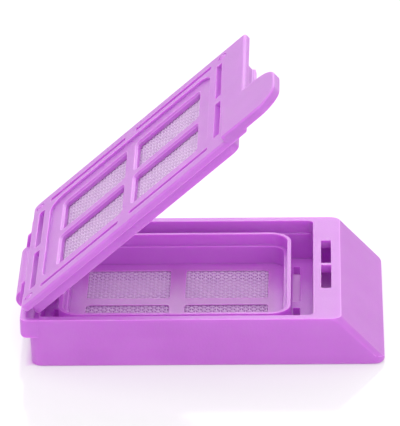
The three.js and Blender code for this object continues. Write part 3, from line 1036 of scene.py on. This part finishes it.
@dataclass
class MeshInsert(CassettePiece):
    """One sheet of plain-woven mesh, whose threads pass over and under each other.

    Attributes:
        finish: What its threads are made of.
        tilt: How far it is turned about the way across, with the lid.
        sheet_node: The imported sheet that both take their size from, because it lies level.
        pitch: The distance from one thread to the next.
        thread_radius: The radius of a thread.
        bow: How far a thread rises and falls from the sheet's middle.
        border: The strip that stays free round the outer threads.
        steps_per_crossing: The steps along a thread from one crossing to the next.
        thread_sides: The sides of a thread's section.
    """

    finish: NylonThread
    tilt: float = 0.0
    sheet_node: str = "base_mesh"
    pitch: float = 0.475 * MM
    thread_radius: float = 0.08 * MM
    bow: float = 0.085 * MM
    border: float = 0.1 * MM
    steps_per_crossing: int = 4
    thread_sides: int = 6

    def thread_family(self, graph: Graph, way: Way) -> Signal:
        """Adds the nodes that make all the threads that run one way.

        Args:
            graph: The geometry graph.
            way: The way that they run.

        Returns:
            The threads.
        """

        def point(run: Value, apart: Value) -> Signal:
            """A point that far along the threads and that far from the middle one."""
            places = (run, apart) if way is Way.ALONG else (apart, run)
            return graph.node("ShaderNodeCombineXYZ", {}, dict(enumerate(places)))

        sizes = ("Length", "Rows", "Columns") if way is Way.ALONG else ("Width", "Columns", "Rows")
        length, count, crossings = (graph.given(name) for name in sizes)
        pitch = graph.given("Pitch")
        ends = {"Start": point(-length / 2.0, 0.0), "End": point(length / 2.0, 0.0)}
        line = graph.node("GeometryNodeCurvePrimitiveLine", {"mode": "POINTS"}, ends)
        points = crossings * float(self.steps_per_crossing) + 1.0
        line = graph.node("GeometryNodeResampleCurve", {}, {"Curve": line, "Count": points})
        first = point(0.0, (1.0 - count) * pitch / 2.0)
        rows = {"Count": count, "Start Location": first, "Offset": point(0.0, pitch)}
        row = graph.node("GeometryNodeMeshLine", {}, rows)
        laid = graph.node("GeometryNodeInstanceOnPoints", {}, {"Points": row, "Instance": line})
        return graph.node("GeometryNodeRealizeInstances", {}, {"Geometry": laid})

    def weave(self, graph: Graph, way: Way) -> Signal:
        """Bows the threads that run one way over and under the others, and makes them round.

        Args:
            graph: The geometry graph.
            way: The way that they run.

        Returns:
            The round threads.
        """
        where = graph.node("GeometryNodeInputPosition")
        turn = math.pi / graph.given("Pitch")
        lift = way.value * graph.given("Bow")
        for axis, count in (("X", "Columns"), ("Y", "Rows")):
            along = graph.node("ShaderNodeSeparateXYZ", {}, {"Vector": where}, axis)
            lift = lift * (along * turn + (graph.given(count) - 1.0) * (math.pi / 2.0)).cosine()
        offset = graph.node("ShaderNodeCombineXYZ", {}, {"Z": lift})
        threads = {"Geometry": self.thread_family(graph, way), "Offset": offset}
        bowed = graph.node("GeometryNodeSetPosition", {}, threads)
        round_sizes = {"Resolution": self.thread_sides, "Radius": graph.given("Thread radius")}
        ring = graph.node("GeometryNodeCurvePrimitiveCircle", {"mode": "RADIUS"}, round_sizes)
        inputs = {"Curve": bowed, "Profile Curve": ring, "Fill Caps": True}
        return graph.node("GeometryNodeCurveToMesh", {}, inputs)

    def tree(self, material: bpy.types.Material) -> tuple[bpy.types.NodeTree, dict[str, str]]:
        """Builds the geometry tree of the woven sheet.

        Args:
            material: The threads' material.

        Returns:
            The tree, and the identifier of each named input.
        """
        tree = bpy.data.node_groups.new(f"{self.name}_weave", "GeometryNodeTree")
        tree.interface.new_socket("Geometry", in_out="OUTPUT", socket_type="NodeSocketGeometry")
        names = {
            "Pitch": "NodeSocketFloat",
            "Thread radius": "NodeSocketFloat",
            "Bow": "NodeSocketFloat",
            "Length": "NodeSocketFloat",
            "Width": "NodeSocketFloat",
            "Columns": "NodeSocketInt",
            "Rows": "NodeSocketInt",
        }
        identifiers = {
            name: tree.interface.new_socket(name, in_out="INPUT", socket_type=kind).identifier
            for name, kind in names.items()
        }
        graph = Graph(tree)
        both = [self.weave(graph, way) for way in Way]
        whole = graph.node("GeometryNodeJoinGeometry", {}, {"Geometry": both})
        real = graph.node("GeometryNodeRealizeInstances", {}, {"Geometry": whole})
        inputs = {"Geometry": real, "Material": material}
        dressed = graph.node("GeometryNodeSetMaterial", {}, inputs)
        graph.node("NodeGroupOutput", {}, {"Geometry": dressed})
        return tree, identifiers

    def build(self) -> bpy.types.Object:
        """Weaves the sheet, in its finish, and lays it in its shell.

        Returns:
            The sheet.
        """
        low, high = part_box(self.sheet_node)
        length, width = high.x - low.x, high.y - low.y
        tree, identifiers = self.tree(self.finish.material(self.centre()))
        free = 2 * (self.thread_radius + self.border)
        sizes = {
            "Pitch": self.pitch,
            "Thread radius": self.thread_radius,
            "Bow": self.bow,
            "Length": length,
            "Width": width,
            "Columns": int((length - free) / self.pitch) + 1,
            "Rows": int((width - free) / self.pitch) + 1,
        }
        piece = new_piece(self.name, bpy.data.meshes.new(self.name))
        modifier = piece.modifiers.new("weave", "NODES")
        modifier.node_group = tree
        for name, value in sizes.items():
            modifier[identifiers[name]] = value
        settle(piece)
        for face in piece.data.polygons:
            face.use_smooth = True
        turn = Matrix.Rotation(-self.tilt, 4, "Y")
        piece.data.transform(Matrix.Translation(self.centre()) @ turn)
        return piece


# ----------------------------------------------------------
# Studio
# ----------------------------------------------------------


@dataclass(frozen=True)
class Softbox:
    """One soft studio lamp, a square of even light that faces the object."""

    name: str
    place: Place
    size: float
    watts: float

    def build(self, target: Vector) -> None:
        """Adds the lamp to the scene.

        Args:
            target: The point that it faces.
        """
        lamp = bpy.data.lights.new(self.name, "AREA")
        lamp.shape = "SQUARE"
        lamp.size = self.size
        lamp.energy = self.watts
        holder = bpy.data.objects.new(self.name, lamp)
        holder.location = Vector(self.place)
        holder.rotation_euler = (target - holder.location).to_track_quat("-Z", "Y").to_euler()
        bpy.context.scene.collection.objects.link(holder)


@dataclass
class Studio:
    """The table, the light round it and the camera.

    Attributes:
        floor, floor_size: The table's finish, and the length of its sides.
        sky: The strength of the even light from all round.
        softboxes: The lamps.
        azimuth, elevation: Where the camera stands, as seen from its pivot, in radians.
        roll: How far it is turned about the way it faces, in radians.
        distance, pivot: How far it stands from a point on the table, and that point.
        aim: The point that it faces.
        lens: Its focal length, in Blender's millimetres.
        clear_within: How near to it nothing is shown.
    """

    floor: StudioFloor = StudioFloor()
    floor_size: float = 6.0
    sky: float = 0.68
    softboxes: tuple[Softbox, ...] = (
        Softbox("overhead", place=(-0.15, 0.05, 0.75), size=0.7, watts=2.2),
        Softbox("behind", place=(0.1, 1.1, 0.55), size=0.9, watts=3.8),
        Softbox("front", place=(0.25, -1.15, 0.3), size=1.0, watts=4.9),
    )
    azimuth: float = 0.0278339
    elevation: float = 0.429267
    roll: float = -0.0178963
    distance: float = 535.24 * MM
    pivot: Place = (2.72 * MM, 0.0, 0.0)
    aim: Place = (2.8 * MM, 0.0, 12.5 * MM)
    lens: float = 395.0
    clear_within: float = 10.0 * MM

    def build_table(self) -> None:
        """Lays the table under the object."""
        half = self.floor_size / 2
        mesh = bpy.data.meshes.new("table")
        corners = [(-half, -half, 0.0), (half, -half, 0.0), (half, half, 0.0), (-half, half, 0.0)]
        mesh.from_pydata(corners, [], [(0, 1, 2, 3)])
        mesh.materials.append(self.floor.material())
        new_piece("table", mesh)

    def build_light(self) -> None:
        """Lights the table evenly, and shows plain white behind it."""
        world = bpy.data.worlds.new("studio")
        world.use_nodes = True
        world.node_tree.nodes.clear()
        graph = Graph(world.node_tree)
        strength = self.sky + (1.0 - self.sky) * graph.shows_background()
        light = graph.node("ShaderNodeBackground", {}, {"Color": WHITE, "Strength": strength})
        graph.node("ShaderNodeOutputWorld", {}, {"Surface": light})
        bpy.context.scene.world = world
        for softbox in self.softboxes:
            softbox.build(Vector(self.aim))

    def build_camera(self) -> None:
        """Stands the camera in front of the table, aimed at the middle of the open cassette."""
        flat = math.cos(self.elevation)
        back = Vector((
            math.sin(self.azimuth) * flat,
            -math.cos(self.azimuth) * flat,
            math.sin(self.elevation),
        ))
        stand = Vector(self.pivot) + self.distance * back
        towards = (stand - Vector(self.aim)).normalized()
        level = Vector((0.0, 0.0, 1.0)).cross(towards).normalized()
        upright = towards.cross(level)
        right = math.cos(self.roll) * level + math.sin(self.roll) * upright
        up = math.cos(self.roll) * upright - math.sin(self.roll) * level
        data = bpy.data.cameras.new("camera")
        data.lens = self.lens
        data.clip_start = self.clear_within
        camera = bpy.data.objects.new("camera", data)
        camera.matrix_world = Matrix((
            (right.x, up.x, towards.x, stand.x),
            (right.y, up.y, towards.y, stand.y),
            (right.z, up.z, towards.z, stand.z),
            (0.0, 0.0, 0.0, 1.0),
        ))
        bpy.context.scene.collection.objects.link(camera)
        bpy.context.scene.camera = camera

    def build(self) -> None:
        """Builds the table, the light and the camera."""
        self.build_table()
        self.build_light()
        self.build_camera()
        bpy.context.scene.view_settings.view_transform = "Standard"


# ----------------------------------------------------------
# Assembly
# ----------------------------------------------------------


def main() -> None:
    """Builds the studio and every piece of the cassette, and keeps the sizes of both models."""
    logging.basicConfig(level=logging.INFO, format="%(message)s")
    Studio().build()
    # The hinge's lower limit is the shut lid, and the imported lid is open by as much.
    joint = frame["joints"][0]
    opening = math.radians(-joint["range_deg"][0])
    # The lid's plastic and thread are the base's colours painted darker: painted shade on the lid.
    shaded_lid_acetal = MouldedAcetal("shaded_lid_acetal", deep=(0.455, 0.150, 0.545), pale=(0.560, 0.228, 0.650))
    shaded_lid_thread = NylonThread("shaded_lid_thread", deep=(0.69, 0.45, 0.77), pale=(0.89, 0.70, 0.93))
    hinge = tuple(joint["pos_m"])
    pieces = [
        BaseShell("base", "base", "base_shell", "plastic", MouldedAcetal("base_acetal")),
        LidShell("lid", "lid", "lid_shell", "plastic", shaded_lid_acetal, hinge=hinge, tilt=opening),
        MeshInsert("base_mesh", "base", "base_weave", "mesh", NylonThread("base_thread")),
        MeshInsert("lid_mesh", "lid", "lid_weave", "mesh", shaded_lid_thread, tilt=opening),
    ]
    for maker in pieces:
        piece = maker.build()
        maker.dress(piece)
        log.info("%s: %d faces", piece.name, len(piece.data.polygons))


if __name__ == "__main__":
    main()
